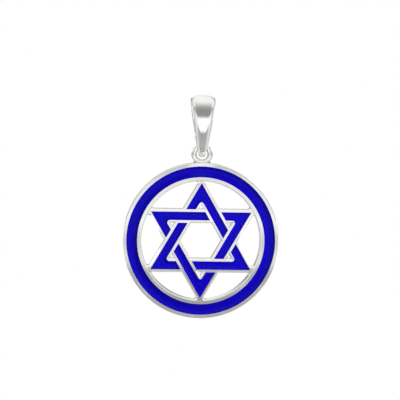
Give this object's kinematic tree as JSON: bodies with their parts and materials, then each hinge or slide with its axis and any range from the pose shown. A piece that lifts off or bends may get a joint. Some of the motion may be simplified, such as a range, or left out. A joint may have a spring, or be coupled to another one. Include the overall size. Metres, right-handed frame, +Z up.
{
  "type": "star of david pendant",
  "caption": "Round openwork pendant with a woven six-pointed star, blue enamel in its rim and star, a soldered jump ring and a tapered bail.",
  "frame": {"origin": "chain seat: the inside top of the bail, where a chain carries the pendant", "axes": "+Z up, as it hangs; the front faces -Y; +X to the right as seen from the front"},
  "size_m": [0.022, 0.0044, 0.0315],
  "materials": {
    "polished_silver": "polished sterling silver, cast and buffed",
    "blue_enamel": "glossy opaque cobalt-blue enamel, flat polished"
  },
  "bodies": {
    "bail": {"bail": "polished_silver"},
    "drop": {"medallion": "polished_silver", "rim_enamel": "blue_enamel", "star_enamel_1": "blue_enamel", "star_enamel_2": "blue_enamel", "star_enamel_3": "blue_enamel", "star_enamel_4": "blue_enamel", "star_enamel_5": "blue_enamel", "star_enamel_6": "blue_enamel"}
  },
  "joints": [
    {"name": "drop_swing", "type": "hinge", "parent": "bail", "child": "drop", "pos_m": [0, 0, -0.00651], "axis": [1, 0, 0], "range_deg": [-50, 50]}
  ]
}
